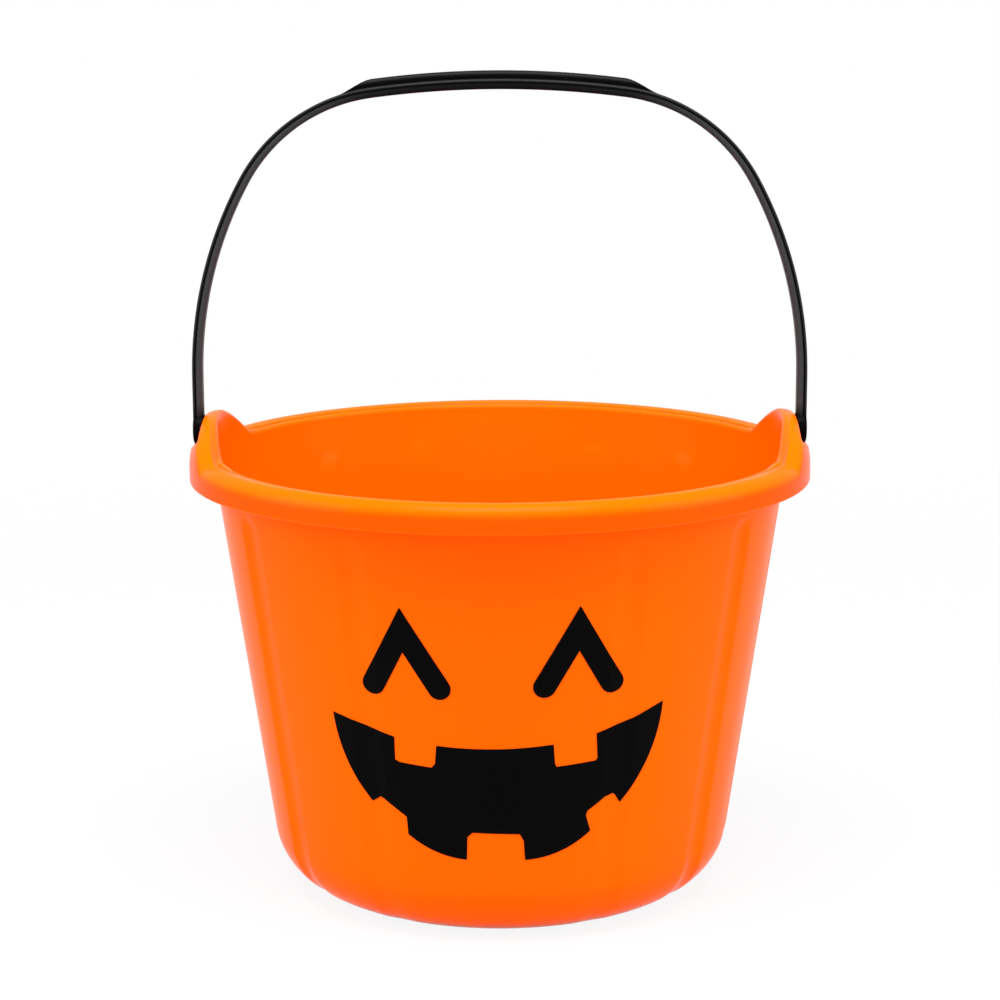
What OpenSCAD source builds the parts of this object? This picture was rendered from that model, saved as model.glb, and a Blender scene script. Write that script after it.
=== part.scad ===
// Pumpkin candy pail: a fluted orange pail with a printed face and a swinging black handle.
// Millimetres. +Z is up, the origin is at the middle of the base on the table, and the face looks along -Y.
// The handle turns about the X axis through both ears, and is modelled standing upright.

/* [Pail] */
// Outside diameter of the rim
rim_d = 220; // [212:0.5:230]
// Height of the rim's crest above the table
pail_h = 157.8; // [140:0.1:175]
// Reach of the rim outside the wall's mouth
rim_reach = 7.9; // [7.5:0.1:10]
// How much further in the wall's cone is at the height of the table than at its mouth
taper = 23; // [16:0.5:26]
// Thickness of the wall and the floor
wall_t = 2; // [1.6:0.1:2.4]
// Radius of the rounded edge between the wall and the base
base_edge_r = 24.1; // [16:0.1:28]
// Width of the flat foot ring that the pail stands on
foot_ring_w = 10.5; // [6:0.5:16]
// Rise of the panel inside the foot ring
panel_rise = 1.4; // [0.8:0.1:2]

/* [Rim] */
// Height from the skirt's lower edge to the rim's crest
skirt_h = 10; // [8:0.1:14]
// Radius of the roll between the rim's top and its skirt
roll_r = 5; // [4:0.1:5.4]
// Thickness of the rim's skin
rim_t = 2; // [1.6:0.1:2.4]
// Drop from the roll's crest to the lip round the mouth
lip_drop = 0.6; // [0.3:0.1:0.8]
// Radius of the fine groove between the lip and the roll
groove_r = 1; // [0.8:0.1:1.2]
// Depth of that groove
groove_depth = 0.7; // [0.4:0.1:0.8]

/* [Flutes] */
// Width of a flute across the wall
flute_w = 11; // [8:0.5:13]
// Depth of a flute
flute_depth = 1.4; // [1:0.1:1.8]
// Depth of the two shallow flutes that the printed face may cross
face_flute_depth = 0.5; // [0.3:0.1:1]
// Drop from the rim's crest to the rounded top of a flute
flute_top_drop = 16.6; // [14.5:0.1:30]

/* [Ears] */
// Height of an ear above the rim's crest
ear_h = 12.3; // [11.5:0.1:14]
// Radius of an ear's arched top, seen from the side
ear_arch_r = 60; // [50:1:80]
// Radius of the hollow curve between an ear and the rim
ear_blend_r = 5; // [3:1:12]
// Distance from the wall's mouth out to the flat seat that the handle's end turns on
ear_seat_out = 2.6; // [2.5:0.1:3.2]
// Drop from an ear's top to the handle's pivot
pivot_drop = 5.9; // [5.5:0.1:6.2]
// Swing of the handle to each side, in degrees
swing = 80; // [60:1:82]

/* [Handle] */
// Height of the strap's outer face at its crown above the table
crown_z = 286.9; // [270:0.1:300]
// Thickness of the strap
strap_t = 3.5; // [3:0.1:4]
// Width of the strap
strap_w = 7; // [6:0.5:8]
// Radius of the strap's long side bends
side_r = 143.5; // [125:0.5:155]
// Radius of the strap's shoulder bends
shoulder_r = 62; // [54:0.5:68]
// Radius of the strap's crown
crown_r = 344; // [300:1:380]
// Height of the grip pad above the strap
pad_h = 2.9; // [2:0.1:4]
// Length of the grip pad along its top
pad_top_l = 89; // [70:1:94]
// Length of the grip pad along its foot
pad_foot_l = 110; // [98:1:114]
// Radius of the round end of the strap
end_r = 5.5; // [4.8:0.1:5.7]
// Radius of the pivot stud
stud_r = 2.5; // [2:0.1:2.8]

/* [Face] */
// Turn of the face and the flutes to the left of the middle between the ears, in degrees
face_turn = 1.4; // [0:0.1:3]
// Distance between the two eyes
eye_gap = 56.6; // [50:0.2:62]
// Height of the middle line of the left eye's peak above the table
eye_z = 112.7; // [108:0.1:116]
// How much higher the right eye stands than the left one
right_eye_rise = 0.9; // [0:0.1:2]
// Shift of the left eye's peak away from the middle of the face
left_peak_out = 1.4; // [0:0.1:2]
// Shift of the right eye's peak away from the middle of the face
right_peak_out = 0.5; // [0:0.1:2]
// Distance between the ends of an eye's two legs
eye_spread = 22.1; // [18:0.1:24]
// Drop from an eye's peak to the ends of its legs
eye_drop = 19.8; // [16:0.1:21]
// Width of an eye's stroke
eye_stroke = 7.6; // [5:0.1:8.4]
// Width of the mouth
mouth_w = 110.4; // [100:0.2:114]
// Height of the mouth
mouth_h = 52.3; // [46:0.1:53]
// Height of the mouth's lowest line above the table
mouth_z = 31.9; // [30:0.1:34]
// Shift of the mouth to the right of the middle plane
mouth_shift = 1.3; // [0:0.1:3]
// Thickness of the printed film
film_t = 0.25; // [0.15:0.05:0.4]

/* [Hidden] */
$fn = 96;

// Length by which a cutting shape runs past what it cuts
over = 1;

// Wall: a cone with a rounded lower edge
rim_r = rim_d / 2;
lip_z = pail_h - lip_drop;
mouth_r = rim_r - rim_reach;
foot_r = mouth_r - taper;
wall_slope = (mouth_r - foot_r) / lip_z;
wall_angle = atan(wall_slope);
edge_centre_r = foot_r + wall_slope * base_edge_r - base_edge_r / cos(wall_angle);
edge_end_r = edge_centre_r + base_edge_r * cos(wall_angle);
edge_end_z = base_edge_r - base_edge_r * sin(wall_angle);
edge_steps = 12;
panel_r = edge_centre_r - foot_ring_w;

// Rim: an inverted channel that hangs outside the wall
roll_centre_r = rim_r - roll_r;
roll_centre_z = pail_h - roll_r;
skirt_z = pail_h - skirt_h;
skirt_in_r = rim_r - rim_t;
land_low_z = lip_z - rim_t;
rim_root_r = mouth_r - wall_t / 2;
roll_angle = 90 + acos((roll_r - lip_drop) / roll_r);
roll_steps = 10;
groove_rise = groove_r - groove_depth;
groove_half_w = sqrt(groove_r * groove_r - groove_rise * groove_rise);
groove_centre_r = roll_centre_r + roll_r * cos(roll_angle) - groove_half_w;

// Flutes: six on each side, more widely spaced at the face and across the back
flute_angles = [28, 57, 82.5, 109, 136, 159.5];
flute_top_z = pail_h - flute_top_drop;
flute_taper_l = flute_w / 2;
// Flutes within this angle of the front are the ones that the printed face may cross
face_angle = 45;
face_flutes = [for (turn = flute_angles) if (turn < face_angle) turn];
other_flutes = [for (turn = flute_angles) if (turn >= face_angle) turn];

// Printed face: the space between the wall and the film
film_gap = 0.1;

// Ears
ear_in_r = mouth_r + wall_slope * over - wall_t / cos(wall_angle);
ear_out_r = rim_r - rim_t / 2;
ear_top_z = pail_h + ear_h;
ear_arch_z = ear_top_z - ear_arch_r;
blend_z = lip_z + ear_blend_r;
blend_reach = ear_arch_r + ear_blend_r;
blend_y = sqrt(blend_reach * blend_reach - (blend_z - ear_arch_z) * (blend_z - ear_arch_z));
blend_angle = acos(blend_y / blend_reach);
blend_steps = 8;
arch_steps = 24;
ear_skin_t = 1.1;
ear_seat_t = 1.6;
ear_seat_x = mouth_r + ear_seat_out;
ear_wall_x = ear_seat_x - ear_seat_t;
pivot_z = ear_top_z - pivot_drop;
swing_clear = 0.4;

// Handle
seat_gap = 0.3;
running_gap = 0.08;
end_in_x = ear_seat_x + seat_gap;
strap_gap = 0.2;
strap_in_x = end_in_x + strap_gap;
strap_out_x = strap_in_x + strap_t;
bend_steps = 12;
side_turn = 29;
shoulder_reach = strap_out_x - side_r * (1 - cos(side_turn)) - shoulder_r * cos(side_turn);
shoulder_cos = shoulder_reach / (crown_r - shoulder_r);
shoulder_turn = acos(shoulder_cos);
side_x = strap_out_x - side_r;
crown_arc_z = crown_z - crown_r;
shoulder_x = (crown_r - shoulder_r) * cos(shoulder_turn);
shoulder_z = crown_arc_z + (crown_r - shoulder_r) * sin(shoulder_turn);
side_z = shoulder_z - (side_r - shoulder_r) * sin(side_turn);
head_t = 1.2;
head_rim = 0.8;
head_out_x = ear_wall_x - seat_gap;
head_in_x = head_out_x - head_t;

// Mouth outline as shares of its width and height: x, z, and the bow of the edge to the next point,
// which is outward where it is positive and a share of the width
mouth_shares = [
    [-0.500, 0.925, 0], [-0.308, 0.816, 0],
    [-0.307, 0.661, 0], [-0.294, 0.646, 0], [-0.196, 0.627, 0], [-0.185, 0.656, 0],
    [-0.180, 0.780, -0.008], [0.171, 0.791, 0],
    [0.175, 0.658, 0], [0.180, 0.636, 0], [0.296, 0.657, 0], [0.302, 0.672, 0],
    [0.299, 0.844, 0], [0.409, 0.916, 0], [0.500, 1.000, 0.027],
    [0.370, 0.339, 0],
    [0.355, 0.398, 0], [0.348, 0.410, 0], [0.324, 0.393, 0], [0.272, 0.312, 0], [0.268, 0.281, 0],
    [0.281, 0.172, 0.019], [0.084, 0.000, 0],
    [0.080, 0.136, 0], [0.068, 0.182, 0], [-0.074, 0.191, 0], [-0.090, 0.159, 0],
    [-0.092, 0.000, 0.015], [-0.271, 0.149, 0],
    [-0.275, 0.269, 0], [-0.341, 0.370, 0], [-0.355, 0.385, 0],
    [-0.381, 0.342, 0.022]
];
bow_steps = 8;

// Points of an arc about a centre, from one angle to another
function arc(centre_x, centre_y, r, from_angle, to_angle, steps) =
    [for (i = [0 : steps])
        let (turn = from_angle + (to_angle - from_angle) * i / steps)
        [centre_x + r * cos(turn), centre_y + r * sin(turn)]];

function reverse(points) = [for (i = [len(points) - 1 : -1 : 0]) points[i]];

// Outline of half the pail's section, moved inward by inset: a cone whose lower edge is rounded
module wall_profile(inset, top_z) {
    polygon(concat(
        [[0, inset]],
        arc(edge_centre_r, base_edge_r, base_edge_r - inset, -90, -wall_angle, edge_steps),
        [[foot_r + wall_slope * top_z - inset / cos(wall_angle), top_z], [0, top_z]]
    ));
}

// Cutters of the flutes of one depth, grown by grow: rods that lie along the wall, taper out of it at
// the top and run out of it at the rounded lower edge
module flute_rods(grow, turns, depth) {
    rod_r = (flute_w * flute_w / 4 + depth * depth) / (2 * depth) + grow;
    rod_off = rod_r - grow - depth;
    straight_l = base_edge_r + (flute_top_z - edge_end_z) / cos(wall_angle) - flute_taper_l;
    end_share = (flute_taper_l + over) / flute_taper_l;
    for (side = [-1, 1], turn = turns)
        rotate([0, 0, -90 + side * turn])
            translate([edge_end_r, 0, edge_end_z])
                rotate([0, wall_angle, 0])
                    translate([rod_off, 0, -base_edge_r])
                        rotate_extrude() polygon([
                            [0, 0], [rod_r, 0], [rod_r, straight_l],
                            [rod_r - depth * end_share, straight_l + flute_taper_l + over],
                            [0, straight_l + flute_taper_l + over]
                        ]);
}

// All the flutes' cutters, in the face's frame
module flutes(grow) {
    flute_rods(grow, face_flutes, face_flute_depth);
    flute_rods(grow, other_flutes, flute_depth);
}

// Half the rim's section: lip, roll and hanging skirt, as one bent strip
module rim_profile() {
    polygon(concat(
        [[rim_root_r, lip_z], [rim_root_r, land_low_z]],
        arc(roll_centre_r, roll_centre_z, roll_r - rim_t, 90, 0, roll_steps),
        [[skirt_in_r, skirt_z], [rim_r, skirt_z]],
        arc(roll_centre_r, roll_centre_z, roll_r, 0, roll_angle, roll_steps)
    ));
}

// Cutter of the fine groove between the lip and the roll
module rim_groove() {
    rotate_extrude() translate([groove_centre_r, lip_z + groove_rise]) circle(r = groove_r);
}

// An ear's side view, moved inward by inset: an arch that runs out into the rim in a hollow curve at
// each end
module ear_outline(inset) {
    arch_r = ear_arch_r - inset;
    blend_r = ear_blend_r + inset;
    polygon(concat(
        [[-blend_y, land_low_z - over], [blend_y, land_low_z - over]],
        arc(blend_y, blend_z, blend_r, 270, 180 + blend_angle, blend_steps),
        arc(0, ear_arch_z, arch_r, blend_angle, 180 - blend_angle, arch_steps),
        arc(-blend_y, blend_z, blend_r, -blend_angle, -90, blend_steps)
    ));
}

// A ring round the pail's axis between two radii, above the rim's underside
module ear_ring(in_r, out_r) {
    rotate_extrude() translate([in_r, land_low_z - over]) square([out_r - in_r, ear_h + skirt_h]);
}

// Turns an outline in Y and Z into a slab along X between two distances
module slab(from_x, to_x) {
    translate([from_x, 0, 0]) rotate([90, 0, 90]) linear_extrude(to_x - from_x) children();
}

// What the handle sweeps past the ear, seen from the side, with a margin
module swing_outline() {
    half = strap_w / 2 + swing_clear;
    hub_r = end_r + swing_clear;
    hub_angle = 90 - swing - asin(half / hub_r);
    reach_y = ear_arch_r * sin(swing) + half * cos(swing);
    reach_z = ear_arch_r * cos(swing) - half * sin(swing);
    polygon(concat(
        arc(0, pivot_z, hub_r, 180 - hub_angle, 360 + hub_angle, blend_steps),
        [[reach_y, pivot_z + reach_z], [reach_y, pivot_z + ear_arch_r],
            [-reach_y, pivot_z + ear_arch_r], [-reach_y, pivot_z + reach_z]]
    ));
}

module ear() {
    intersection() {
        ear_ring(ear_in_r, ear_out_r);
        slab(0, rim_r) ear_outline(0);
    }
}

// What an ear leaves free: the handle's way, the hollow below the arch and the stud's hole
module ear_room() {
    slab(ear_seat_x, rim_r + over) swing_outline();
    intersection() {
        ear_ring(ear_in_r + ear_skin_t, ear_out_r - rim_t);
        slab(0, ear_wall_x) ear_outline(rim_t);
    }
    translate([ear_wall_x - over, 0, pivot_z])
        rotate([0, 90, 0]) cylinder(r = stud_r + running_gap, h = rim_t + 2 * over);
}

module both_sides() {
    children();
    mirror([1, 0, 0]) children();
}

module pail_body() {
    color("orangered") difference() {
        union() {
            difference() {
                union() {
                    rotate_extrude() wall_profile(0, lip_z);
                    rotate_extrude() rim_profile();
                }
                rotate([0, 0, -face_turn]) flutes(0);
                rim_groove();
            }
            both_sides() ear();
        }
        difference() {
            rotate_extrude() wall_profile(wall_t, lip_z + over);
            rotate([0, 0, -face_turn]) flutes(wall_t);
            cylinder(r = panel_r + wall_t, h = panel_rise + wall_t);
        }
        translate([0, 0, -over]) cylinder(r = panel_r, h = panel_rise + over);
        both_sides() ear_room();
    }
}

// One long side of the strap's outline, drop inside its outer face, from the pivot to the crown's middle
function strap_line(drop) = concat(
    [[strap_out_x - drop, pivot_z]],
    arc(side_x, side_z, side_r - drop, 0, side_turn, bend_steps),
    arc(shoulder_x, shoulder_z, shoulder_r - drop, side_turn, shoulder_turn, bend_steps),
    arc(0, crown_arc_z, crown_r - drop, shoulder_turn, 90, bend_steps)
);

// Half of the strap with half of its grip pad, seen from the front
module strap_outline() {
    polygon(concat(strap_line(0), reverse(strap_line(strap_t))));
    pad_low_r = crown_r - strap_t / 2;
    pad_high_r = crown_r + pad_h;
    polygon(concat(
        arc(0, crown_arc_z, pad_high_r, acos(pad_top_l / 2 / pad_high_r), 90, bend_steps),
        arc(0, crown_arc_z, pad_low_r, 90, acos(pad_foot_l / 2 / pad_low_r), bend_steps)
    ));
}

// One side of the handle: half the strap, its round end, and the headed stud that snaps into the ear
module handle_side() {
    translate([0, strap_w / 2, 0]) rotate([90, 0, 0]) linear_extrude(strap_w) strap_outline();
    translate([0, 0, pivot_z]) rotate([0, 90, 0]) {
        translate([0, 0, end_in_x]) cylinder(r = end_r, h = strap_out_x - end_in_x);
        translate([0, 0, head_in_x]) cylinder(r = stud_r, h = end_in_x - head_in_x + over);
        translate([0, 0, head_in_x]) cylinder(r = stud_r + head_rim, h = head_t);
    }
}

module handle() {
    color("black") {
        both_sides() handle_side();
    }
}

// Points of an arc from one point towards another that bows to the left of the way by sag
function bow(from, to, sag) =
    let (
        chord = to - from,
        across = [-chord.y, chord.x] / norm(chord)
    )
    [for (i = [0 : bow_steps - 1])
        let (s = i / bow_steps) from + s * chord + 4 * s * (1 - s) * sag * across];

// The fluted wall as a solid, grown outward by grow, where the face is printed
module printed_wall(grow) {
    difference() {
        cylinder(
            r1 = foot_r + grow / cos(wall_angle),
            r2 = foot_r + wall_slope * skirt_z + grow / cos(wall_angle),
            h = skirt_z
        );
        flute_rods(-grow, face_flutes, face_flute_depth);
    }
}

// A printed film: the outline in X and Z, laid on the fluted wall
module film() {
    rotate([0, 0, -face_turn]) difference() {
        intersection() {
            printed_wall(film_gap + film_t);
            rotate([90, 0, 0]) linear_extrude(rim_r) children();
        }
        printed_wall(film_gap);
    }
}

// An eye: a chevron with round leg ends and a sharp peak, which may be shifted sideways
module eye_outline(peak_shift) {
    half = eye_stroke / 2;
    leg_x = eye_spread / 2;
    left_lean = atan((leg_x + peak_shift) / eye_drop);
    right_lean = atan((leg_x - peak_shift) / eye_drop);
    tilt = (right_lean - left_lean) / 2;
    miter = half / sin((left_lean + right_lean) / 2);
    polygon(concat(
        [[peak_shift - miter * sin(tilt), miter * cos(tilt)]],
        arc(-leg_x, -eye_drop, half, 180 - left_lean, 360 - left_lean, bow_steps),
        [[peak_shift + miter * sin(tilt), -miter * cos(tilt)]],
        arc(leg_x, -eye_drop, half, 180 + right_lean, 360 + right_lean, bow_steps)
    ));
}

module mouth_outline() {
    count = len(mouth_shares);
    spots = [for (m = mouth_shares) [mouth_shift + m.x * mouth_w, mouth_z + m.y * mouth_h]];
    polygon(reverse([for (i = [0 : count - 1])
        each mouth_shares[i].z == 0
            ? [spots[i]]
            : bow(spots[i], spots[(i + 1) % count], mouth_shares[i].z * mouth_w)]));
}

module print_left_eye() {
    color("black") film() translate([-eye_gap / 2, eye_z]) eye_outline(-left_peak_out);
}

module print_right_eye() {
    color("black") film()
        translate([eye_gap / 2, eye_z + right_eye_rise]) eye_outline(right_peak_out);
}

module print_mouth() {
    color("black") film() mouth_outline();
}

pail_body();
handle();
print_left_eye();
print_right_eye();
print_mouth();
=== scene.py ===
import math
import bpy
import bmesh
import numpy as np
from mathutils import Matrix, Vector
from mathutils.geometry import delaunay_2d_cdt


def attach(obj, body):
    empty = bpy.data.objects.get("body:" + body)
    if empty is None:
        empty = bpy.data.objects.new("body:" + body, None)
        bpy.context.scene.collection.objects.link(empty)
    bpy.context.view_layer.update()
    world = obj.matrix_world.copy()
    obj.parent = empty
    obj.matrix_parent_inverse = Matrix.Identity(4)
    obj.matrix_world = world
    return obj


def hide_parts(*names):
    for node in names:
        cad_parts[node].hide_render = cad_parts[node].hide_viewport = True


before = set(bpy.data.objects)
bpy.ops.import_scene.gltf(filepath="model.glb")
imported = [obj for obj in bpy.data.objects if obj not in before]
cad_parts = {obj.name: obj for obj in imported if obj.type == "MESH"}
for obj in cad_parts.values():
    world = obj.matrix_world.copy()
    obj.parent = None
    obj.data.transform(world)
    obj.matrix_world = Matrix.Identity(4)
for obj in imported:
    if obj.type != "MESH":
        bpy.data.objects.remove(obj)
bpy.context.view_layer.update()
MM = 0.001

# Sizes in millimetres and angles in degrees, unless a name or comment says otherwise.

# Wall: a cone with a rounded lower edge
FOOT_R, SLOPE, WALL_T = 79.1, 23 / 157.2, 2.0
WALL_ANGLE = math.atan(SLOPE)
WALL_NORMAL = (math.cos(WALL_ANGLE), -math.sin(WALL_ANGLE))
EDGE_R = 24.1
EDGE_CENTRE_R = FOOT_R + SLOPE * EDGE_R - EDGE_R / math.cos(WALL_ANGLE)
PANEL_RISE = 1.4
INNER_TOP_R, INNER_BLEND = 99.9, 1.0

# Rim: the roll with its crest, the groove, the lip inside it and the skirt below
RIM_R, CREST_Z, LIP_Z, ROLL_R = 110.0, 157.8, 157.2, 5.0
ROLL_Z = CREST_Z - ROLL_R
CREST_IN, LIP_FALL, LIP_EDGE_R = 4.6, 1.3, 0.8
SKIRT_Z, SIDE_START, SIDE_TAPER = 147.8, 0.85, 0.03
GROOVE_R, GROOVE_HALF_W, GROOVE_DEPTH = 101.7, 0.95, 0.7
RIM_SKIN = 2.0
HOLLOW_IN_R, HOLLOW_OUT_R, HOLLOW_SHARE = 101.2, 108.0, 0.94
HOLLOW_FOOT_Z, HOLLOW_ROOF_Z, ROOF_SLOPE_H, ROOF_SLOPE_R = 152.4, 154.8, 0.4, 101
SKIRT_INSIDE_H, SKIRT_DRAFT = 4.2, 0.25

# Ears: each one's arch stands on the rim and leans in
EAR_TOP_Z, EAR_ARCH_R, EAR_BLEND_R = 170.1, 60.0, 5.0
EAR_MIDDLE_R = 102
EAR_LEAN, EAR_LEAN_H = 5.2, 16
EAR_START_Y, EAR_FADE_Y = 44, 9
EAR_LIP_FALL, EAR_DROP, EAR_CREST_IN, EAR_EDGE_R = 0.2, 0.5, 0.8, 0.7
EAR_SLANT, EAR_SLANT_BLEND = 0.35, 8.0

# Groove's end at the foot of an ear: where it starts to go, and over which length
GROOVE_END_Y, GROOVE_NARROW_Y, GROOVE_FADE_Y = 40, 30, 10
GROOVE_HOOK, GROOVE_HOOK_Y, GROOVE_HOOK_W = 0.5, 36, 6
GROOVE_END_W = 0.1

# Flat seat on the outside of each ear, for the handle's end and its swing
SEAT_X, PIVOT_Z = 104.75, 164.2
STRAP_T, STRAP_W = 3.5, 7.0
STRAP_HALF_W = STRAP_W / 2
HUB_R, SWING_CLEAR = 5.5, 0.4
HUB_RAMP, FAN_RAMP, SEAT_IN = 0.5, 3.0, 0.3
SEAT_SOFT = 0.35
SWING = math.radians(80)

# Flutes: angle from the face's middle, and depth. They run out at the edge, by the shares at the heights.
FACE_TURN = 1.4
FLUTES = ((28, 0.65), (57, 1.4), (82.5, 1.4), (109, 1.4), (136, 1.4), (159.5, 1.4))
FLUTE_HALF_W, FLUTE_TOP_Z = 5.5, 142.6
FLUTE_SOFT, FLUTE_CUT = 0.1, 1.4
FLUTE_RUN_Z, FLUTE_RUN = [0, 6, 14, 24], [0.25, 0.3, 0.75, 1.0]
INNER_FLUTE_SHARE = 0.3

# Rows of the pail as radius and height, or radius and distance from a height named above
COLUMNS = 800
PANEL_RADII = (14, 30, 46.4)
FOOT_RING = ((47.3, 1.25), (47.9, 0.8), (48.2, 0.3), (48.7, 0.05), (49.4, 0.0), (54.0, 0.0))
HOLLOW_ROOF = ((101.7, 0.25), (102.4, 0.0), (103.6, 0.0), (104.8, 0.0), (105.9, 0.25), (106.9, 0.9),
               (107.6, 1.8))
SKIRT_EDGE = ((107.9, 0.5), (108.15, 0.12), (108.6, 0.0), (109.3, 0.03), (109.75, 0.2), (109.95, 0.5))
INNER_FLOOR = ((52.0, 2.0), (50.6, 2.1), (49.6, 2.7), (48.6, 3.25), (47.0, 3.4), (30.0, 3.4), (14.0, 3.4))
INNER_LIP_FOOT_Z = 150.0


def smooth(x):
    """0 to 1 with flat ends."""
    x = np.clip(x, 0, 1)
    return x * x * (3 - 2 * x)


def spread(start, end, count, last=False):
    return np.linspace(start, end, count, endpoint=last)


WALL_HEIGHTS = np.concatenate([spread(20.8, 132, 17), spread(132, 143.6, 15), [145.0, 147.0, 149.0, 151.6]])


# Shape of the pail
def wall_r(z):
    return FOOT_R + SLOPE * z


def inner_r(z):
    """The wall's inner radius: its cone, which runs out into an upright face towards the lip and the ears."""
    cone = wall_r(z) - WALL_T / math.cos(WALL_ANGLE)
    return (cone + INNER_TOP_R - np.sqrt((cone - INNER_TOP_R) ** 2 + INNER_BLEND ** 2)) / 2


def flute_depth(azimuth, z, r):
    """How far the flutes press the wall in at this height, for azimuths from the face's middle."""
    depth = np.zeros_like(azimuth)
    run = np.interp(z, FLUTE_RUN_Z, FLUTE_RUN)
    over = max(0.0, z - (FLUTE_TOP_Z - FLUTE_HALF_W)) / FLUTE_HALF_W
    rest = (math.sqrt((1 - FLUTE_CUT ** 2) ** 2 + FLUTE_SOFT ** 2) + 1 - FLUTE_CUT ** 2) / 2
    for mark, deep in FLUTES:
        for side in (-1, 1):
            turn = np.radians((azimuth - side * mark + 180) % 360 - 180)
            bowl = 1 - (turn * r / FLUTE_HALF_W) ** 2 - over ** 2
            level = (np.sqrt(bowl ** 2 + FLUTE_SOFT ** 2) + bowl) / 2
            depth = np.maximum(depth, deep * (level - rest))
    return run * depth


def ear_rise(y, blend_r=EAR_BLEND_R):
    """Height of the ear above the plain lip, by distance from the ear's middle."""
    arch_z = EAR_TOP_Z - EAR_ARCH_R
    blend_z = LIP_Z + blend_r
    reach = EAR_ARCH_R + blend_r
    blend_y = np.sqrt(reach ** 2 - (blend_z - arch_z) ** 2)
    touch_y = blend_y * EAR_ARCH_R / reach
    y = np.abs(y)
    arch = arch_z + np.sqrt(np.maximum(EAR_ARCH_R ** 2 - y ** 2, 0)) - LIP_Z
    hollow = blend_z - np.sqrt(np.maximum(blend_r ** 2 - (blend_y - y) ** 2, 0)) - LIP_Z
    return np.where(y < touch_y, arch, np.where(y < blend_y, hollow, 0))


def lean(z):
    """How far an ear leans in at this height."""
    return EAR_LEAN * (np.maximum(z - ROLL_Z, 0) / EAR_LEAN_H) ** 2


def swept(y, z):
    """Signed distances into what the handle's end and its strap sweep past an ear, with their margin."""
    half = STRAP_HALF_W + SWING_CLEAR
    hub = HUB_R + SWING_CLEAR - np.hypot(y, z - PIVOT_Z)
    fan = (z - PIVOT_Z) * math.sin(SWING) - np.abs(y) * math.cos(SWING) + half
    return hub, fan


def seat(x, y, z, skin):
    """Distance from the middle plane, limited by the flat seat that the handle turns on. Inside the ear's
    hollow, which lies one skin below the surface, the seat is deeper and wider."""
    hub, fan = swept(y, z)
    limit = SEAT_X - skin
    inside = np.maximum(smooth((hub + HUB_RAMP + skin) / (HUB_RAMP + SEAT_IN)),
                        smooth((fan + FAN_RAMP + skin) / (FAN_RAMP + SEAT_IN)))
    gap = x - limit
    held = limit + (gap - np.sqrt(gap ** 2 + SEAT_SOFT ** 2)) / 2
    return x + (held - x) * inside


class Section:
    """Rows of points, each going once round the pail, from the underside over the rim to the floor. Each row
    has a share of painted shade: a darker orange painted on the rim's upright outer side and in its groove."""

    def __init__(self):
        self.azimuth = np.arange(COLUMNS) * 360 / COLUMNS
        self.turn = np.radians(self.azimuth)
        self.sin, self.cos = np.sin(self.turn), np.cos(self.turn)
        self.rise = ear_rise(EAR_MIDDLE_R * self.cos)
        self.rows = []
        self.painted_light_rows = []
        self.tone = 0.0

    def put(self, r, z, turn):
        ones = np.ones_like(self.azimuth)
        self.rows.append(np.stack([r * np.sin(turn), -r * np.cos(turn), z * ones], axis=1))
        self.painted_light_rows.append(self.tone * ones)

    def add(self, r, z):
        self.put(r, z, self.turn)

    def add_wall(self, r, z, normal, share=1.0):
        """A row on the wall, moved in along its normal by a share of the flutes' depth."""
        depth = share * flute_depth(self.azimuth + FACE_TURN, z, r)
        self.add(r - depth * normal[0], z - depth * normal[1])

    def add_edge(self, radius, turn, share=1.0):
        """A row on the rounded lower edge, at this angle above the level."""
        normal = (math.cos(turn), math.sin(turn))
        self.add_wall(EDGE_CENTRE_R + radius * normal[0], EDGE_R + radius * normal[1], normal, share)

    def add_ear(self, r, z, skin=0.0):
        """A row on the rim, cut back where an ear has its seat."""
        x, y = r * np.abs(self.sin), r * self.cos
        x = np.where(self.rise > 0.5, seat(x, y, z, skin), x)
        self.put(np.hypot(x, y), z, np.arctan2(x * np.sign(self.sin), y))

    def add_hollow(self, r, z):
        """A row of the hollow under the rim, drawn in as the ear leans."""
        share = (r - HOLLOW_IN_R) / (HOLLOW_OUT_R - HOLLOW_IN_R)
        self.add_ear(r - share * lean(z), z, RIM_SKIN)


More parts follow.
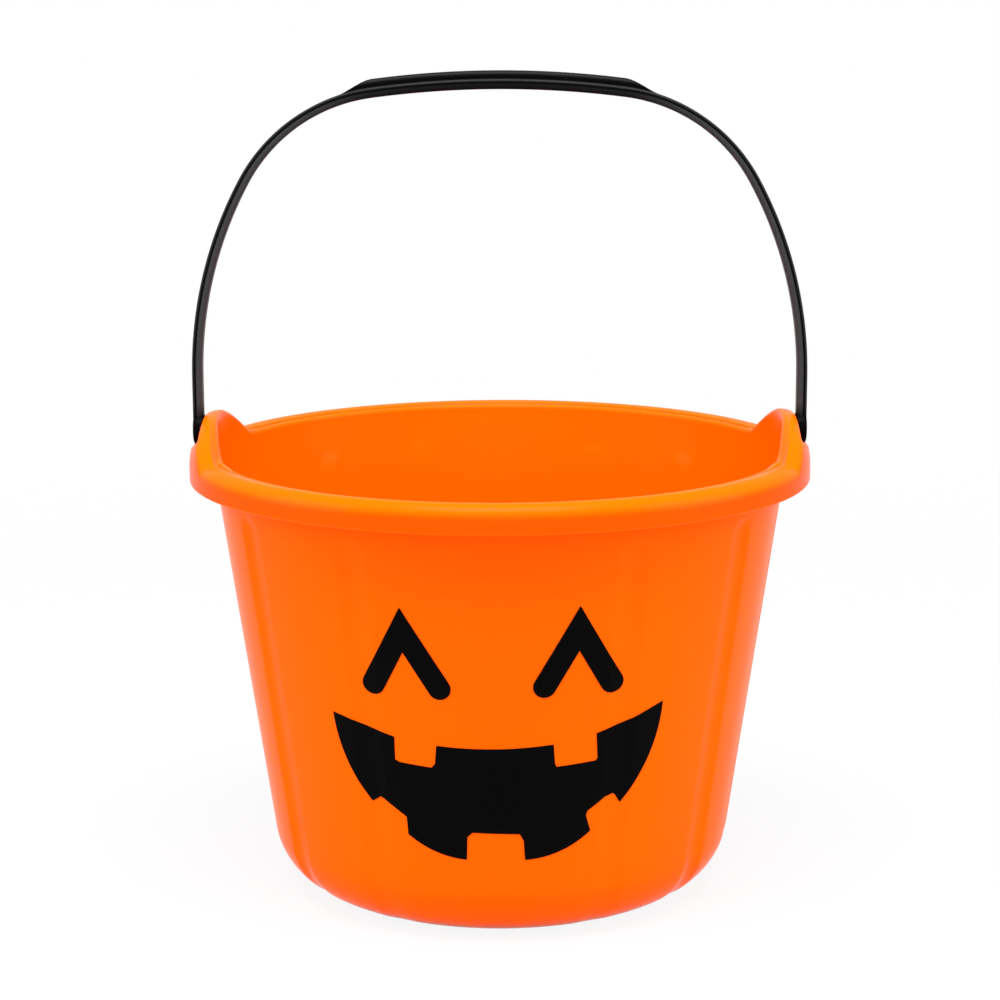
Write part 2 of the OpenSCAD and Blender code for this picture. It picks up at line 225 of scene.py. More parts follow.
class RimTop:
    """Top of the rim all round: its crest, lip and groove, and how they change at the ears."""

    def __init__(self, section):
        self.front = section.cos > 0
        self.ear_y = np.abs(EAR_MIDDLE_R * section.cos)
        self.ear_share = smooth((EAR_START_Y - self.ear_y) / EAR_FADE_Y)
        self.drop = EAR_DROP * self.ear_share
        self.fall = LIP_FALL + (EAR_LIP_FALL - LIP_FALL) * self.ear_share
        self.edge_r = LIP_EDGE_R + EAR_EDGE_R * self.ear_share
        self.lip_r = inner_r(CREST_Z - self.fall + section.rise)
        self.outer_r = RIM_R - lean(ROLL_Z + section.rise)
        self.crest_r = self.outer_r - CREST_IN - EAR_CREST_IN * self.ear_share

    def inward(self, r):
        """0 at the crest to 1 at the lip."""
        return np.clip((self.crest_r - r) / (self.crest_r - self.lip_r), 0, 1)

    def slanted_rise(self, r):
        """The ear's rise over the radius: its inner edge starts nearer to its middle at the front."""
        slant = self.inward(r) * self.front
        return ear_rise(self.ear_y * (1 + EAR_SLANT * slant), EAR_BLEND_R + EAR_SLANT_BLEND * slant)

    def height(self, r):
        """Height of the top over the radius: from the crest down to the lip."""
        share = self.inward(r)
        return CREST_Z + self.slanted_rise(r) - self.drop * (1 - share) ** 1.3 - self.fall * share ** 1.1

    def groove(self):
        """Radius, half width and depth of the fine groove, which swings outward at an ear's foot and ends."""
        land_r = (self.crest_r + self.lip_r + self.edge_r) / 2
        hook = GROOVE_HOOK * np.exp(-((self.ear_y - GROOVE_HOOK_Y) / GROOVE_HOOK_W) ** 2)
        r = (GROOVE_R + hook) * (1 - self.ear_share) + land_r * self.ear_share
        narrow = smooth((GROOVE_NARROW_Y - self.ear_y) / GROOVE_FADE_Y)
        half = GROOVE_HALF_W * (1 - narrow) + GROOVE_END_W * narrow
        depth = GROOVE_DEPTH * (1 - smooth((GROOVE_END_Y - self.ear_y) / GROOVE_FADE_Y))
        return r, half, depth


def add_underside_and_wall(s):
    for r in PANEL_RADII:
        s.add(r, PANEL_RISE)
    for r, z in FOOT_RING:
        s.add(r, z)
    for turn in spread(-math.pi / 2, -WALL_ANGLE, 20):
        s.add_edge(EDGE_R, turn)
    for z in WALL_HEIGHTS:
        s.add_wall(wall_r(z), z, WALL_NORMAL)


def add_rim_underside(s, top):
    """Inner side, roof and outer side of the hollow under the rim and the ears, and the skirt's lower edge."""
    for share in spread(0, 1, 8, True):
        rise = HOLLOW_SHARE * top.slanted_rise(HOLLOW_IN_R) + 1.0
        s.add_hollow(HOLLOW_IN_R, HOLLOW_FOOT_Z + rise * share)
    for r, down in HOLLOW_ROOF:
        rise = HOLLOW_SHARE * top.slanted_rise(r)
        s.add_hollow(r, HOLLOW_ROOF_Z + rise - down + ROOF_SLOPE_H * min(1, (r - ROOF_SLOPE_R) / 2))
    for share in spread(0, 1, 16, True):
        rise = HOLLOW_SHARE * s.rise
        s.add_hollow(HOLLOW_OUT_R - SKIRT_DRAFT * share, ROLL_Z + rise * (1 - share) - SKIRT_INSIDE_H * share)
    for r, up in SKIRT_EDGE:
        s.add(r, SKIRT_Z + up)


def add_rim_outside(s, top):
    """Outer side of the rim and the ears, and the roll up to the crest, where the painted shade (a darker
    orange) ends.
    """
    side_z = SKIRT_Z + SIDE_START
    # painted shade: the upright outer side of the rim and ears is painted a darker orange
    s.tone = 1.0
    for share in spread(0, 1, 42):
        z = side_z + (ROLL_Z - side_z + s.rise) * share
        low = np.clip((ROLL_Z - z) / (ROLL_Z - side_z), 0, 1)
        s.add_ear(RIM_R - SIDE_TAPER * low - lean(z), z)
    shaded_rows = 6
    for step, turn in enumerate(spread(0, math.pi / 2, 15)):
        s.tone = 1 - float(smooth(step / shaded_rows))
        bulge = math.sin(turn)
        s.add_ear(top.outer_r - (top.outer_r - top.crest_r) * (1 - math.cos(turn)),
                  ROLL_Z + s.rise - top.drop * bulge + ROLL_R * bulge)
    s.tone = 0.0


def add_rim_top(s, top):
    """From the crest over the groove, which has painted shade (a darker orange by its depth), to the rounded
    lip.
    """
    groove_r, half, depth = top.groove()
    groove_in = groove_r - half
    for share in spread(0, 1, 4):
        r = top.crest_r + (groove_r + half - top.crest_r) * share
        s.add_ear(r, top.height(r))
    for t in spread(-1, 1, 11, True):
        # painted shade: the groove is painted a darker orange, most at its bottom
        s.tone = (1 - t * t) * depth / GROOVE_DEPTH
        r = groove_r - half * t
        s.add_ear(r, top.height(r) - depth * (1 - t * t) ** 1.2)
    s.tone = 0.0
    for share in spread(0.15, 1, 6):
        r = groove_in + (top.lip_r + top.edge_r - groove_in) * share
        s.add_ear(r, top.height(r))
    for turn in spread(0, math.pi / 2, 8):
        r = top.lip_r + top.edge_r * (1 - math.sin(turn))
        s.add_ear(r, top.height(r) - top.edge_r * (1 - math.cos(turn)))


def add_inside(s, top):
    """Inner wall and floor."""
    start = top.height(top.lip_r) - top.edge_r
    for share in spread(0, 1, 14):
        z = start + (INNER_LIP_FOOT_Z - start) * share
        s.add(inner_r(z), z)
    # without the two rows next to the lip's foot, and the one at the start of the rounded edge
    for z in WALL_HEIGHTS[::-1][2:-1]:
        s.add_wall(inner_r(z), z, WALL_NORMAL, INNER_FLUTE_SHARE)
    for turn in spread(-WALL_ANGLE, -math.pi / 2, 18, True):
        s.add_edge(EDGE_R - WALL_T, turn, INNER_FLUTE_SHARE)
    for r, z in INNER_FLOOR:
        s.add(r, z)


def add_object(name, mesh):
    thing = bpy.data.objects.new(name, mesh)
    bpy.context.scene.collection.objects.link(thing)
    return thing


def build_pail():
    section = Section()
    top = RimTop(section)
    add_underside_and_wall(section)
    add_rim_underside(section, top)
    add_rim_outside(section, top)
    add_rim_top(section, top)
    add_inside(section, top)
    mesh = bpy.data.meshes.new("pail_moulding")
    points = np.concatenate([[[0, 0, PANEL_RISE]], *section.rows, [[0, 0, PANEL_RISE + WALL_T]]]) * MM
    faces = []
    rows = len(section.rows)
    for i in range(COLUMNS):
        j = (i + 1) % COLUMNS
        faces.append((0, 1 + j, 1 + i))
        for k in range(rows - 1):
            a = 1 + k * COLUMNS
            faces.append((a + i, a + j, a + COLUMNS + j, a + COLUMNS + i))
        last = 1 + (rows - 1) * COLUMNS
        faces.append((last + i, last + j, last + COLUMNS))
    mesh.from_pydata(points.tolist(), [], faces)
    mesh.update()
    mesh.polygons.foreach_set("use_smooth", [True] * len(mesh.polygons))
    painted_light_rows = np.concatenate([[0.0], *section.painted_light_rows, [0.0]])
    mesh.attributes.new("tone", "FLOAT", "POINT").data.foreach_set("value", painted_light_rows)
    return add_object("pail_moulding", mesh)


# Handle: its line runs through the outer face, from a pivot up a side, over a shoulder and the crown
STRAP_X = 108.7
SIDE_R, SHOULDER_R, CROWN_R, CROWN_Z = 143.5, 62.0, 344.0, 286.9
SIDE_TURN = math.radians(29)
SHOULDER_TURN = math.acos((STRAP_X - SIDE_R * (1 - math.cos(SIDE_TURN)) - SHOULDER_R * math.cos(SIDE_TURN))
                          / (CROWN_R - SHOULDER_R))
CROWN_ARC_Z = CROWN_Z - CROWN_R
SHOULDER_X = (CROWN_R - SHOULDER_R) * math.cos(SHOULDER_TURN)
SHOULDER_Z = CROWN_ARC_Z + (CROWN_R - SHOULDER_R) * math.sin(SHOULDER_TURN)
SIDE_Z = SHOULDER_Z - (SIDE_R - SHOULDER_R) * math.sin(SIDE_TURN)

# Strap's cross-section, and the pad with its ramps
FACE_DISH, FACE_DISH_IN, OUTER_CORNER_R, INNER_CORNER_R = 0.12, 1.0, 0.5, 1.4
PAD_H, PAD_TOP_L, PAD_FOOT_L = 2.9, 89.0, 110.0
PAD_IN, PAD_ROOT, PAD_CORNER_R, PAD_CORNER_SHARE = 0.3, 1.2, 1.1, 0.42
PAD_RAMP_STRAIGHT = 0.6

# Round end and headed stud as (distance from the middle plane, radius)
END_DISC = ((105.0, 4.9), (105.1, 5.3), (105.4, 5.5), (108.0, 5.5), (108.45, 5.35), (108.7, 4.9))
STUD = ((101.6, 2.9), (101.8, 3.3), (102.6, 3.3), (102.8, 3.1), (102.8, 2.5), (105.6, 2.5))

# Painted reflection and highlight on the handle, a lighter grey: a distance where it starts and its fade, or
# its middle, width and strength
SHEEN_FLANK, SHEEN_INNER, SHEEN_END = (2.6, 0.5), (1.35, 0.3), (5.6, 0.9)
SHEEN_CORNER, SHEEN_PAD = (0.3, 0.28, 0.8), (0.5, 0.6, 0.5)
SHEEN_CROWN_SHARE, SHEEN_SIDE_TURN = 0.12, 0.7


def strap_path():
    """Points (x, z) and outward normals of the strap's outer face, from the right end to the left."""
    half = [((STRAP_X, z), (1.0, 0.0)) for z in spread(PIVOT_Z, SIDE_Z, 4)]
    arcs = ((STRAP_X - SIDE_R, SIDE_Z, SIDE_R, 0, SIDE_TURN, 22),
            (SHOULDER_X, SHOULDER_Z, SHOULDER_R, SIDE_TURN, SHOULDER_TURN, 26),
            (0, CROWN_ARC_Z, CROWN_R, SHOULDER_TURN, math.pi / 2, 20))
    for cx, cz, r, start, end, steps in arcs:
        for turn in spread(start, end, steps):
            normal = (math.cos(turn), math.sin(turn))
            half.append(((cx + r * normal[0], cz + r * normal[1]), normal))
    middle = [((0.0, CROWN_Z), (0.0, 1.0))]
    mirrored = [((-p[0], p[1]), (-n[0], n[1])) for p, n in reversed(half)]
    return half + middle + mirrored


def crown_point(x):
    """Point (x, z) and normal of the strap's outer face above this x, on the crown or on a shoulder."""
    if abs(x) <= CROWN_R * math.cos(SHOULDER_TURN):
        normal = (x / CROWN_R, math.sqrt(1 - (x / CROWN_R) ** 2))
        return (x, CROWN_ARC_Z + CROWN_R * normal[1]), normal
    across = (abs(x) - SHOULDER_X) / SHOULDER_R
    normal = (math.copysign(across, x), math.sqrt(1 - across ** 2))
    return (x, SHOULDER_Z + SHOULDER_R * normal[1]), normal


def strap_section():
    """Half of the strap's cross-section as (depth below the outer face, y): a sharp outer corner, a flat flank
    and an inner side that is rounded away."""
    half, corner, low = STRAP_HALF_W, OUTER_CORNER_R, INNER_CORNER_R
    points = [(FACE_DISH, 0.0), (FACE_DISH, half - FACE_DISH_IN)]
    points += [(corner - corner * math.cos(t), half - corner + corner * math.sin(t))
               for t in spread(0.3, math.pi / 2, 5)]
    points += [(d, half) for d in (0.5, 0.8, 1.3, 1.6)]
    points += [(STRAP_T - low + low * math.sin(t), half - low + low * math.cos(t))
               for t in spread(0, math.pi / 2, 8)]
    return points + [(STRAP_T, half - low)]


def pad_section(x):
    """Half of the pad's cross-section at this x, which rises on ramps from the strap's outer face."""
    share = (PAD_FOOT_L / 2 - abs(x)) / ((PAD_FOOT_L - PAD_TOP_L) / 2)
    share = min(1, max(0, share))
    rise = PAD_H * (PAD_RAMP_STRAIGHT * share + (1 - PAD_RAMP_STRAIGHT) * float(smooth(share)))
    r = min(PAD_CORNER_R, PAD_CORNER_SHARE * (rise + 0.3))
    side = STRAP_HALF_W - PAD_IN
    points = [(-rise, 0.0)]
    points += [(-rise + r - r * math.cos(t), side - r + r * math.sin(t)) for t in spread(0, math.pi / 2, 6)]
    points += [(-rise + r + (rise - r - 0.1) * down, side) for down in (0, 0.15, 0.4, 0.65, 0.9)]
    return points + [(0.05, side), (PAD_ROOT / 2, side), (PAD_ROOT, side), (PAD_ROOT, 0.0)]


def loft(path, outline_at):
    """Closed tube whose cross-section at each path point is an outline of (depth below the outer face, y)."""
    verts, faces = [], []
    for index, ((x, z), (nx, nz)) in enumerate(path):
        for d, y in outline_at(index):
            verts.append(((x - nx * d) * MM, y * MM, (z - nz * d) * MM))
    n = len(verts) // len(path)
    for i in range(len(path) - 1):
        for k in range(n):
            a, b = i * n + k, i * n + (k + 1) % n
            faces.append((a, b, b + n, a + n))
    faces.append(tuple(reversed(range(n))))
    faces.append(tuple(range(len(verts) - n, len(verts))))
    return verts, faces


def lathe_x(profile, steps=64):
    """Solid turned about the pivot's line from (x, radius) points."""
    verts, faces = [], []
    for x, r in profile:
        for k in range(steps):
            turn = 2 * math.pi * k / steps
            verts.append((x * MM, r * math.cos(turn) * MM, (PIVOT_Z + r * math.sin(turn)) * MM))
    for i in range(len(profile) - 1):
        for k in range(steps):
            a, b = i * steps + k, i * steps + (k + 1) % steps
            faces.append((a, b, b + steps, a + steps))
    faces.append(tuple(reversed(range(steps))))
    faces.append(tuple(range(len(verts) - steps, len(verts))))
    return verts, faces


def solid(name, data):
    mesh = bpy.data.meshes.new(name)
    mesh.from_pydata(data[0], [], data[1])
    bm = bmesh.new()
    bm.from_mesh(mesh)
    bmesh.ops.recalc_face_normals(bm, faces=bm.faces)
    bm.to_mesh(mesh)
    bm.free()
    return add_object(name, mesh)


def unite(base, others):
    for other in others:
        tool = base.modifiers.new("unite", "BOOLEAN")
        tool.operation, tool.solver, tool.object = "UNION", "EXACT", other
        with bpy.context.temp_override(object=base, active_object=base, selected_objects=[base]):
            bpy.ops.object.modifier_apply(modifier=tool.name)
        bpy.data.objects.remove(other)


def painted_reflection(points, path):
    """Share of the lighter grey of painted reflection and highlight at each point of the handle: a painted
    reflection of the white floor on the inner half of the strap's flanks, most on its upright sides, and a
    painted highlight in a fine line along its outer corner and near the top edge of the pad."""
    line = np.array([p for p, _ in path])
    normals = np.array([n for _, n in path])
    spots = points[:, [0, 2]] / MM
    nearest = np.argmin(((spots[:, None, :] - line[None, :, :]) ** 2).sum(axis=2), axis=1)
    depth = -((spots - line[nearest]) * normals[nearest]).sum(axis=1)
    upright = smooth(np.abs(normals[nearest][:, 0]) / SHEEN_SIDE_TURN)
    flank = smooth((np.abs(points[:, 1]) / MM - SHEEN_FLANK[0]) / SHEEN_FLANK[1])

    def band(middle, width, strength):
        return strength * np.exp(-((depth - middle) / width) ** 2) * flank

    inner = smooth((depth - SHEEN_INNER[0]) / SHEEN_INNER[1]) * (SHEEN_CROWN_SHARE + (1 - SHEEN_CROWN_SHARE) * upright)
    corner = band(*SHEEN_CORNER)
    pad_middle, pad_width, pad_strength = SHEEN_PAD
    pad = band(pad_middle - PAD_H, pad_width, pad_strength)
    from_pivot = np.hypot(points[:, 1], points[:, 2] - PIVOT_Z * MM) / MM
    off_end = smooth((from_pivot - SHEEN_END[0]) / SHEEN_END[1])
    return off_end * np.clip(np.maximum(np.maximum(inner, corner), pad), 0, 1)


def build_handle():
    path = strap_path()
    section = strap_section()
    ring = section + [(d, -y) for d, y in reversed(section[1:])]
    thing = solid("carry_handle", loft(path, lambda i: ring))
    pad_path = [crown_point(x) for x in spread(-PAD_FOOT_L / 2, PAD_FOOT_L / 2, 71, True)]

    def pad_ring(index):
        points = pad_section(pad_path[index][0][0])
        return points + [(d, -y) for d, y in reversed(points[1:-1])]

    parts = [solid("pad", loft(pad_path, pad_ring))]
    for sign in (-1, 1):
        for profile in (END_DISC, STUD):
            parts.append(solid("end", lathe_x([(sign * x, r) for x, r in profile])))
    unite(thing, parts)
    mesh = thing.data
    points = np.empty(len(mesh.vertices) * 3)
    mesh.vertices.foreach_get("co", points)
    # painted reflection and highlight: the lighter grey share on the handle
    tone = mesh.attributes.new("tone", "FLOAT", "POINT")
    tone.data.foreach_set("value", painted_reflection(points.reshape(-1, 3), path))
    mesh.polygons.foreach_set("use_smooth", [True] * len(mesh.polygons))
    return thing


# Printed face, laid out on the wall's front as x and z
EYE_GAP, EYE_Z, EYE_SPREAD, EYE_DROP, EYE_STROKE = 56.6, 112.7, 22.1, 19.8, 7.6
RIGHT_EYE_RISE, LEFT_PEAK_OUT, RIGHT_PEAK_OUT = 0.9, 1.4, 0.5
MOUTH_W, MOUTH_H, MOUTH_Z, MOUTH_SHIFT = 110.4, 52.3, 31.9, 1.3
FILM_TOP, FILM_FOOT, OUTLINE_STEP, FILL_STEP = 0.2, 0.02, 0.8, 1.1

# Mouth's corners from the upper left one round by the bottom: shares of its width and height, and how far the
# line to the next corner bows out, as a share of the width
MOUTH_SHARES = (
    (-0.500, 0.925, 0), (-0.308, 0.816, 0),
    (-0.307, 0.661, 0), (-0.294, 0.646, 0), (-0.196, 0.627, 0), (-0.185, 0.656, 0),
    (-0.180, 0.780, -0.008), (0.171, 0.791, 0),
    (0.175, 0.658, 0), (0.180, 0.636, 0), (0.296, 0.657, 0), (0.302, 0.672, 0),
    (0.299, 0.844, 0), (0.409, 0.916, 0), (0.500, 1.000, 0.027),
    (0.370, 0.339, 0),
    (0.355, 0.398, 0), (0.348, 0.410, 0), (0.324, 0.393, 0), (0.272, 0.312, 0), (0.268, 0.281, 0),
    (0.281, 0.172, 0.019), (0.084, 0.000, 0),
    (0.080, 0.136, 0), (0.068, 0.182, 0), (-0.074, 0.191, 0), (-0.090, 0.159, 0),
    (-0.092, 0.000, 0.015), (-0.271, 0.149, 0),
    (-0.275, 0.269, 0), (-0.341, 0.370, 0), (-0.355, 0.385, 0),
    (-0.381, 0.342, 0.022),
)


def wall_point(x, z, lift):
    """Point of the fluted front wall at this x and z in the face's frame, lifted off it."""
    r = wall_r(z)
    for _ in range(6):
        azimuth = np.degrees(np.arcsin(np.clip(np.array([x / r]), -1, 1)))
        depth = float(flute_depth(azimuth, z, wall_r(z))[0])
        r = wall_r(z) - depth / math.cos(WALL_ANGLE) + lift
    y = -math.sqrt(max(r * r - x * x, 0))
    turn = math.radians(-FACE_TURN)
    turned = (x * math.cos(turn) - y * math.sin(turn), x * math.sin(turn) + y * math.cos(turn))
    return (turned[0] * MM, turned[1] * MM, z * MM)


def film(name, outline):
    """Thin printed film: the outline in x and z laid on the fluted wall."""
    fine = []
    count = len(outline)
    for i, a in enumerate(outline):
        b = outline[(i + 1) % count]
        steps = max(1, int(math.dist(a, b) / OUTLINE_STEP))
        fine += [(a[0] + (b[0] - a[0]) * k / steps, a[1] + (b[1] - a[1]) * k / steps) for k in range(steps)]
    xs, zs = [p[0] for p in fine], [p[1] for p in fine]
    columns, levels = np.arange(min(xs), max(xs), FILL_STEP), np.arange(min(zs), max(zs), FILL_STEP)
    grid = [(x, z) for x in columns for z in levels]
    spots = [Vector(p) for p in fine + grid]
    edges = [(i, (i + 1) % len(fine)) for i in range(len(fine))]
    flat, _, faces, *_ = delaunay_2d_cdt(spots, edges, [tuple(range(len(fine)))], 1, 1e-4)
    used = sorted({v for f in faces for v in f})
    index = {v: i for i, v in enumerate(used)}
    n = len(used)
    verts = [wall_point(flat[v].x, flat[v].y, lift) for lift in (FILM_TOP, FILM_FOOT) for v in used]
    top = [tuple(index[v] for v in f) for f in faces]
    sides = {(a, b) for f in top for a, b in zip(f, f[1:] + f[:1])}
    rim = [(a, b) for f in top for a, b in zip(f, f[1:] + f[:1]) if (b, a) not in sides]
    foot = [tuple(v + n for v in reversed(f)) for f in top]
    return solid(name, (verts, top + foot + [(b, a, a + n, b + n) for a, b in rim]))


def arc_points(cx, cy, r, start, end, steps):
    turns = [math.radians(start + (end - start) * k / steps) for k in range(steps + 1)]
    return [(cx + r * math.cos(turn), cy + r * math.sin(turn)) for turn in turns]


def eye_outline(cx, cz, peak_shift):
    """Chevron with round leg ends and a sharp peak that may be shifted sideways."""
    half, leg = EYE_STROKE / 2, EYE_SPREAD / 2
    left = math.degrees(math.atan((leg + peak_shift) / EYE_DROP))
    right = math.degrees(math.atan((leg - peak_shift) / EYE_DROP))
    tilt = math.radians((right - left) / 2)
    miter = half / math.sin(math.radians((left + right) / 2))
    up = (-miter * math.sin(tilt), miter * math.cos(tilt))
    points = ([(peak_shift + up[0], up[1])]
              + arc_points(-leg, -EYE_DROP, half, 180 - left, 360 - left, 16)
              + [(peak_shift - up[0], -up[1])]
              + arc_points(leg, -EYE_DROP, half, 180 + right, 360 + right, 16))
    return [(cx + x, cz + z) for x, z in points]


def mouth_outline(bow_steps=12):
    spots = [(MOUTH_SHIFT + x * MOUTH_W, MOUTH_Z + z * MOUTH_H) for x, z, _ in MOUTH_SHARES]
    points = []
    for i, (_, _, bow) in enumerate(MOUTH_SHARES):
        a, b = spots[i], spots[(i + 1) % len(spots)]
        if bow == 0:
            points.append(a)
            continue
        chord = (b[0] - a[0], b[1] - a[1])
        length = math.hypot(*chord)
        across = (-chord[1] / length, chord[0] / length)
        for k in range(bow_steps):
            t = k / bow_steps
            out = 4 * t * (1 - t) * bow * MOUTH_W
            points.append((a[0] + chord[0] * t + across[0] * out, a[1] + chord[1] * t + across[1] * out))
    return points[::-1]


# Materials: noise scales are per metre, and bump and bevel distances are in metres
DRIFT_SCALE, CLOUD_SCALE, SCUFF_SCALE, PEEL_SCALE = 6.0, 14.0, 260.0, 900.0
DRIFT_DARKER, WEAR_AND_HIGHLIGHT_MOST = 0.985, 0.5
PEEL_DEPTH, BEVEL_R = 0.0002, 0.0006
NOISE_LOW, NOISE_HIGH = 0.2, 0.8


def node(tree, kind, **values):
    made = tree.nodes.new(kind)
    for key, value in values.items():
        if key in made.inputs:
            made.inputs[key].default_value = value
        else:
            setattr(made, key, value)
    return made


def feed(tree, value, socket):
    """Put a value into a socket: a link from another socket, or a plain number or colour."""
    if isinstance(value, bpy.types.NodeSocket):
        tree.links.new(value, socket)
    else:
        socket.default_value = value


def noise_ramp(tree, source, low, high):
    """Colour that runs from one to the other over the middle of a noise."""
    made = tree.nodes.new("ShaderNodeValToRGB")
    tree.links.new(source, made.inputs["Fac"])
    elements = made.color_ramp.elements
    for element, place, colour in zip(elements, (NOISE_LOW, NOISE_HIGH), (low, high)):
        element.position, element.color = place, (*colour, 1)
    return made.outputs["Color"]


def noise(tree, coords, scale, detail=1.0):
    made = node(tree, "ShaderNodeTexNoise", Scale=scale, Detail=detail)
    tree.links.new(coords, made.inputs["Vector"])
    return made.outputs["Fac"]


def mix(tree, factor, a, b):
    """Mix of two colours; each is a socket or a colour."""
    made = tree.nodes.new("ShaderNodeMix")
    made.data_type = "RGBA"
    for value, place in ((factor, 0), (a, 6), (b, 7)):
        feed(tree, value, made.inputs[place])
    return made.outputs[2]


def scalar(tree, operation, a, b):
    made = node(tree, "ShaderNodeMath", operation=operation)
    feed(tree, a, made.inputs[0])
    feed(tree, b, made.inputs[1])
    return made.outputs[0]


def plastic(name, base, worn_and_highlight, rough, specular, peel, edge, painted_light_colour=None):
    """Moulded plastic: base colour with a faint drift, lighter edges for wear and painted highlight,
    orange-peel bump and, where the mesh has a painted light share, a second colour: painted shade on the pail,
    painted reflection on the handle."""
    m = bpy.data.materials.new(name)
    m.use_nodes = True
    tree = m.node_tree
    shader = tree.nodes["Principled BSDF"]
    coords = tree.nodes.new("ShaderNodeTexCoord").outputs["Object"]
    colour = noise_ramp(tree, noise(tree, coords, DRIFT_SCALE), [c * DRIFT_DARKER for c in base], base)
    # painted light: the mesh's share mixes in a second colour, darker orange as painted shade on the pail's
    # rim and lighter grey as painted reflection on the handle
    if painted_light_colour:
        tone = node(tree, "ShaderNodeAttribute", attribute_name="tone")
        colour = mix(tree, tone.outputs["Fac"], colour, (*painted_light_colour, 1))
    bevel = node(tree, "ShaderNodeBevel", samples=4, Radius=BEVEL_R)
    geometry = tree.nodes.new("ShaderNodeNewGeometry")
    dot = node(tree, "ShaderNodeVectorMath", operation="DOT_PRODUCT")
    tree.links.new(bevel.outputs["Normal"], dot.inputs[0])
    tree.links.new(geometry.outputs["Normal"], dot.inputs[1])
    scuff = noise(tree, coords, SCUFF_SCALE, 4.0)
    # lighter edges: wear with scuff noise, and also a painted highlight, such as the bright line along the
    # rim's lip
    wear_and_highlight = scalar(tree, "MULTIPLY", scalar(tree, "SUBTRACT", 1.0, dot.outputs["Value"]), edge)
    wear_and_highlight = scalar(tree, "MINIMUM", scalar(tree, "MULTIPLY", wear_and_highlight, scuff), WEAR_AND_HIGHLIGHT_MOST)
    tree.links.new(mix(tree, wear_and_highlight, colour, (*worn_and_highlight, 1)), shader.inputs["Base Color"])
    roughness = noise_ramp(tree, noise(tree, coords, CLOUD_SCALE), [rough[0]] * 3, [rough[1]] * 3)
    tree.links.new(roughness, shader.inputs["Roughness"])
    shader.inputs["Specular IOR Level"].default_value = specular
    bump = node(tree, "ShaderNodeBump", Strength=peel, Distance=PEEL_DEPTH)
    tree.links.new(noise(tree, coords, PEEL_SCALE), bump.inputs["Height"])
    tree.links.new(bump.outputs["Normal"], shader.inputs["Normal"])
    return m


def paint(thing, m):
    thing.data.materials.clear()
    thing.data.materials.append(m)


# orange: its lighter edge colour paints the bright line along the lip as well as wear; its second colour is
# painted shade on the rim
ORANGE = plastic("orange_plastic", base=(1.0, 0.102, 0.0), worn_and_highlight=(1.0, 0.3, 0.06), rough=(0.2, 0.24),
                 specular=0.02, peel=0.03, edge=2.2, painted_light_colour=(1.0, 0.066, 0.0))
# black: its second colour is a painted reflection and highlight on the strap
BLACK = plastic("black_plastic", base=(0.0012, 0.0012, 0.0013), worn_and_highlight=(0.03, 0.03, 0.03), rough=(0.28, 0.34),
                specular=0.012, peel=0.04, edge=0.8, painted_light_colour=(0.032, 0.034, 0.035))
INK = plastic("black_ink", base=(0.0012, 0.0012, 0.0012), worn_and_highlight=(0.004, 0.003, 0.002), rough=(0.5, 0.56),
              specular=0.02, peel=0.03, edge=0.3)

pail = build_pail()
paint(pail, ORANGE)
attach(pail, "pail")
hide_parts("pail_body")

handle = build_handle()
paint(handle, BLACK)
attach(handle, "handle")
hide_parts("handle")

PRINTS = (
    ("left_eye_ink", eye_outline(-EYE_GAP / 2, EYE_Z, -LEFT_PEAK_OUT), "print_left_eye"),
    ("right_eye_ink", eye_outline(EYE_GAP / 2, EYE_Z + RIGHT_EYE_RISE, RIGHT_PEAK_OUT), "print_right_eye"),
    ("mouth_ink", mouth_outline(), "print_mouth"),
)
for name, outline, node_name in PRINTS:
    ink = film(name, outline)
    paint(ink, INK)
    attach(ink, "pail")
    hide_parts(node_name)


# Floor, light and camera, in metres
WHITE = (1, 1, 1, 1)
FLOOR_HALF, FLOOR_COLOUR = 4.0, (0.5, 0.5, 0.5, 1)
SHADOW_FROM, SHADOW_TO, SHADOW_GLOW = 0.1, 0.9, 0.9
AMBIENT = 0.45
AIM = (0, 0, 0.12)
LAMPS = (  # name, place, size, watts
    ("side_left", (-1.3, -0.35, 0.6), (0.9, 1.3), 15),
    ("side_right", (1.3, -0.35, 0.6), (0.9, 1.3), 15),
    ("top", (0, -0.55, 1.6), (1.1, 0.9), 52),
    ("front", (0.1, -1.9, 0.9), (1.2, 1.0), 4),
)


def seen_white(tree):
    """1 for camera, glossy and transmission rays."""
    path = tree.nodes.new("ShaderNodeLightPath")
    either = scalar(tree, "MAXIMUM", path.outputs["Is Camera Ray"], path.outputs["Is Glossy Ray"])
    return scalar(tree, "MAXIMUM", either, path.outputs["Is Transmission Ray"])


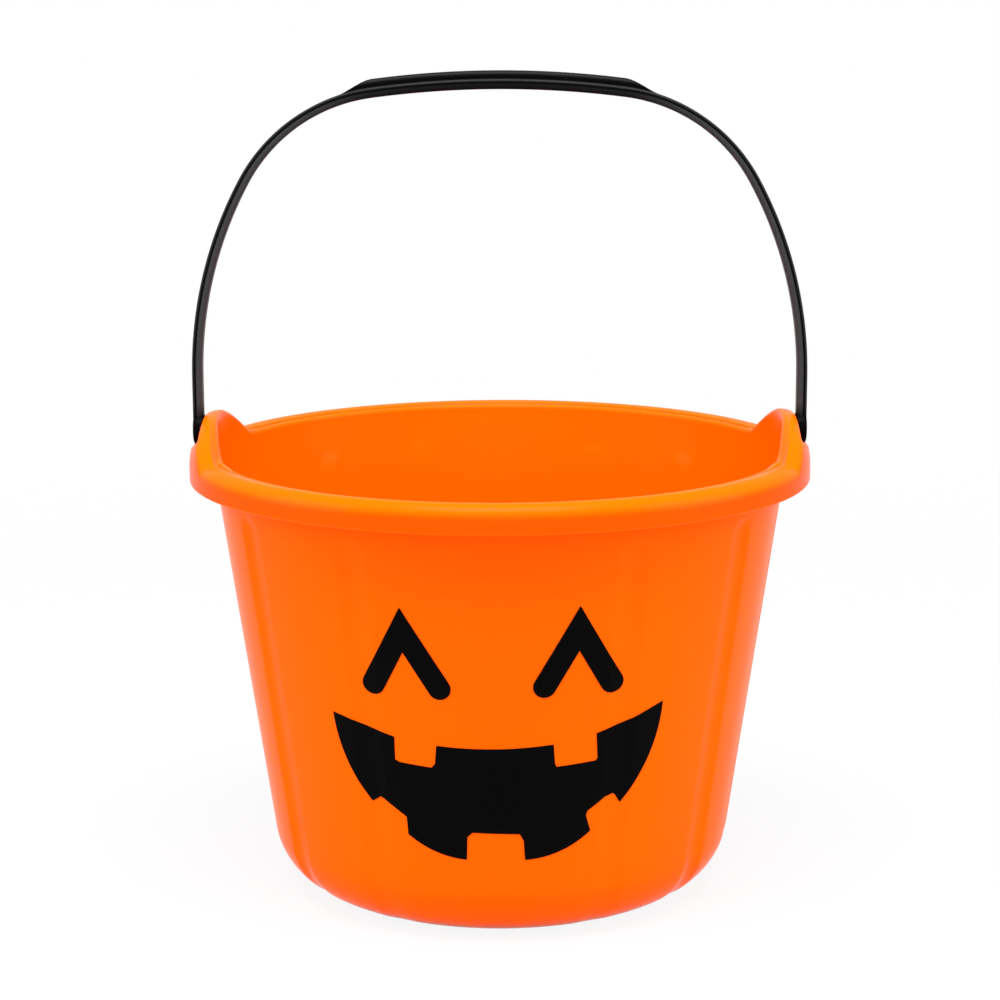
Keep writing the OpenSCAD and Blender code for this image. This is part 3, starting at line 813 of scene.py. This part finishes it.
def build_floor():
    """White floor that lights the pail as a grey one and keeps its shadow: its own white glow is full at a
    distance, and a little weaker near the pail."""
    half = FLOOR_HALF
    corners = [(-half, -half, 0), (half, -half, 0), (half, half, 0), (-half, half, 0)]
    mesh = bpy.data.meshes.new("floor")
    mesh.from_pydata(corners, [], [(0, 1, 2, 3)])
    floor = add_object("floor", mesh)
    m = bpy.data.materials.new("floor_white")
    m.use_nodes = True
    tree = m.node_tree
    tree.nodes.clear()
    out = tree.nodes.new("ShaderNodeOutputMaterial")
    diffuse = node(tree, "ShaderNodeBsdfDiffuse", Color=FLOOR_COLOUR)
    glow = node(tree, "ShaderNodeEmission", Strength=1.0)
    blend = tree.nodes.new("ShaderNodeMixShader")
    position = tree.nodes.new("ShaderNodeNewGeometry").outputs["Position"]
    away = node(tree, "ShaderNodeVectorMath", operation="LENGTH")
    tree.links.new(position, away.inputs[0])
    fade = node(tree, "ShaderNodeMapRange", interpolation_type="SMOOTHSTEP")
    for socket, value in zip(list(fade.inputs)[1:5], (SHADOW_FROM, SHADOW_TO, SHADOW_GLOW, 1.0)):
        socket.default_value = value
    tree.links.new(away.outputs["Value"], fade.inputs[0])
    tree.links.new(scalar(tree, "MULTIPLY", seen_white(tree), fade.outputs[0]), blend.inputs[0])
    tree.links.new(diffuse.outputs[0], blend.inputs[1])
    tree.links.new(glow.outputs[0], blend.inputs[2])
    tree.links.new(blend.outputs[0], out.inputs["Surface"])
    paint(floor, m)


def build_world():
    """Soft ambient light, seen as white."""
    world = bpy.data.worlds.new("studio")
    bpy.context.scene.world = world
    world.use_nodes = True
    tree = world.node_tree
    tree.nodes.clear()
    out = tree.nodes.new("ShaderNodeOutputWorld")
    light = node(tree, "ShaderNodeBackground", Color=WHITE, Strength=AMBIENT)
    white = node(tree, "ShaderNodeBackground", Color=WHITE, Strength=1.0)
    blend = tree.nodes.new("ShaderNodeMixShader")
    tree.links.new(seen_white(tree), blend.inputs[0])
    tree.links.new(light.outputs[0], blend.inputs[1])
    tree.links.new(white.outputs[0], blend.inputs[2])
    tree.links.new(blend.outputs[0], out.inputs["Surface"])


def area_light(name, place, size, power):
    data = bpy.data.lights.new(name, "AREA")
    data.shape, data.size, data.size_y, data.energy = "RECTANGLE", size[0], size[1], power
    lamp = bpy.data.objects.new(name, data)
    lamp.location = place
    lamp.rotation_euler = (Vector(AIM) - Vector(place)).to_track_quat("-Z", "Y").to_euler()
    bpy.context.scene.collection.objects.link(lamp)


def build_camera():
    """The photograph's camera: 912 mm from the pail's axis, 317 mm up, 0.4 degrees round to the right."""
    distance, height = 0.91225, 0.31694
    pitch, yaw, roll = math.radians(11.093), math.radians(0.4), math.radians(0.212)
    data = bpy.data.cameras.new("camera")
    data.sensor_fit, data.sensor_width, data.lens = "HORIZONTAL", 36.0, 36.0 * 2.5987
    data.clip_start = 0.05
    camera = bpy.data.objects.new("camera", data)
    forward = Vector((-math.sin(yaw) * math.cos(pitch), math.cos(yaw) * math.cos(pitch), -math.sin(pitch)))
    right = Vector((math.cos(yaw), math.sin(yaw), 0))
    up = right.cross(forward)
    turned_right = right * math.cos(roll) - up * math.sin(roll)
    turned_up = up * math.cos(roll) + right * math.sin(roll)
    rotation = Matrix((turned_right, turned_up, -forward)).transposed()
    place = (distance * math.sin(yaw), -distance * math.cos(yaw), height)
    camera.matrix_world = Matrix.Translation(place) @ rotation.to_4x4()
    bpy.context.scene.collection.objects.link(camera)
    bpy.context.scene.camera = camera


build_floor()
build_world()
build_camera()
for lamp in LAMPS:
    area_light(*lamp)

bpy.context.scene.view_settings.view_transform = "Standard"
